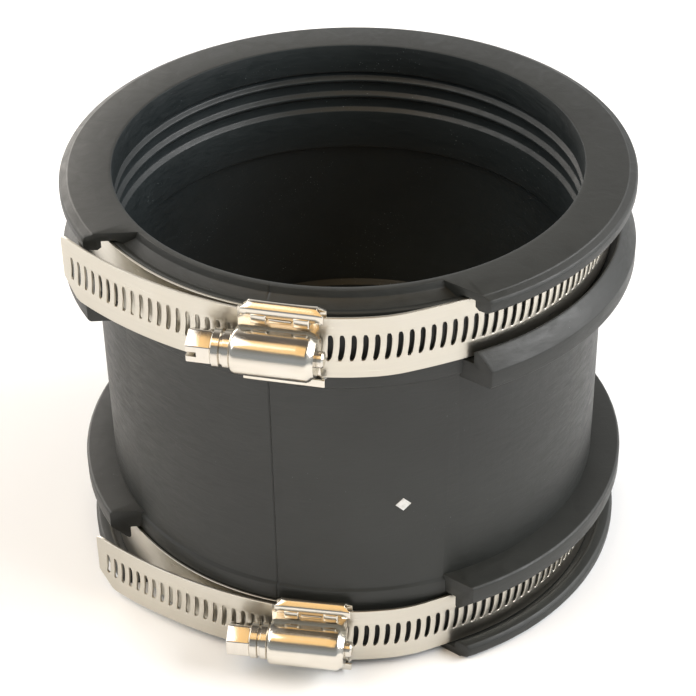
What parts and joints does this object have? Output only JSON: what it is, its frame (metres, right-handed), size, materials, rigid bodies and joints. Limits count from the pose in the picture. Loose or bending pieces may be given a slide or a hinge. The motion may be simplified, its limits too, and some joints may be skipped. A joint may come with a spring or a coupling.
{
  "type": "pipe coupling",
  "caption": "Flexible rubber pipe coupling: a flanged sleeve with a ribbed bore, squeezed onto the pipe ends by worm-drive band clamps with slotted steel strips.",
  "frame": {"origin": "on the axis of the bore, in the plane of the lower end face", "axes": "+Z along the bore towards the upper end; -Y towards the opening in the flanges where the clamp housings sit; +X to the right seen from there"},
  "size_m": [0.1354, 0.141, 0.1036],
  "materials": {
    "rubber": "satin moulded rubber",
    "paint": "matt",
    "strip_steel": "satin stainless strip",
    "housing_steel": "bright pressed stainless",
    "screw_steel": "bright turned stainless"
  },
  "bodies": {
    "sleeve": {"rubber_sleeve": "rubber", "white_mark": "paint"},
    "upper_band": {"upper_band": "strip_steel"},
    "upper_housing": {"upper_saddle": "housing_steel", "upper_cover": "housing_steel"},
    "upper_screw": {"upper_worm_screw": "screw_steel"},
    "lower_band": {"lower_band": "strip_steel"},
    "lower_housing": {"lower_saddle": "housing_steel", "lower_cover": "housing_steel"},
    "lower_screw": {"lower_worm_screw": "screw_steel"}
  },
  "joints": [
    {"name": "upper_clamp_turn", "type": "hinge", "parent": "sleeve", "child": "upper_band", "pos_m": [0, 0, 0.09295], "axis": [0, 0, 1], "range_deg": [-2, 20]},
    {"name": "upper_band_feed", "type": "hinge", "parent": "upper_band", "child": "upper_housing", "pos_m": [0, 0, 0.09295], "axis": [0, 0, 1], "range_deg": [-9, 6.75]},
    {"name": "upper_screw_spin", "type": "hinge", "parent": "upper_housing", "child": "upper_screw", "pos_m": [0.00504, -0.06701, 0.0934], "axis": [0.9972, 0.075, 0], "range_deg": [-1440, 1080]},
    {"name": "lower_clamp_turn", "type": "hinge", "parent": "sleeve", "child": "lower_band", "pos_m": [0, 0, 0.01005], "axis": [0, 0, 1], "range_deg": [-2, 13]},
    {"name": "lower_band_feed", "type": "hinge", "parent": "lower_band", "child": "lower_housing", "pos_m": [0, 0, 0.01005], "axis": [0, 0, 1], "range_deg": [-9, 6.75]},
    {"name": "lower_screw_spin", "type": "hinge", "parent": "lower_housing", "child": "lower_screw", "pos_m": [0.00958, -0.06651, 0.0105], "axis": [0.9898, 0.1426, 0], "range_deg": [-1440, 1080]}
  ],
  "couplings": [
    {"joint": "upper_band_feed", "follows": "upper_screw_spin", "ratio": 0.00625},
    {"joint": "lower_band_feed", "follows": "lower_screw_spin", "ratio": 0.00625}
  ]
}
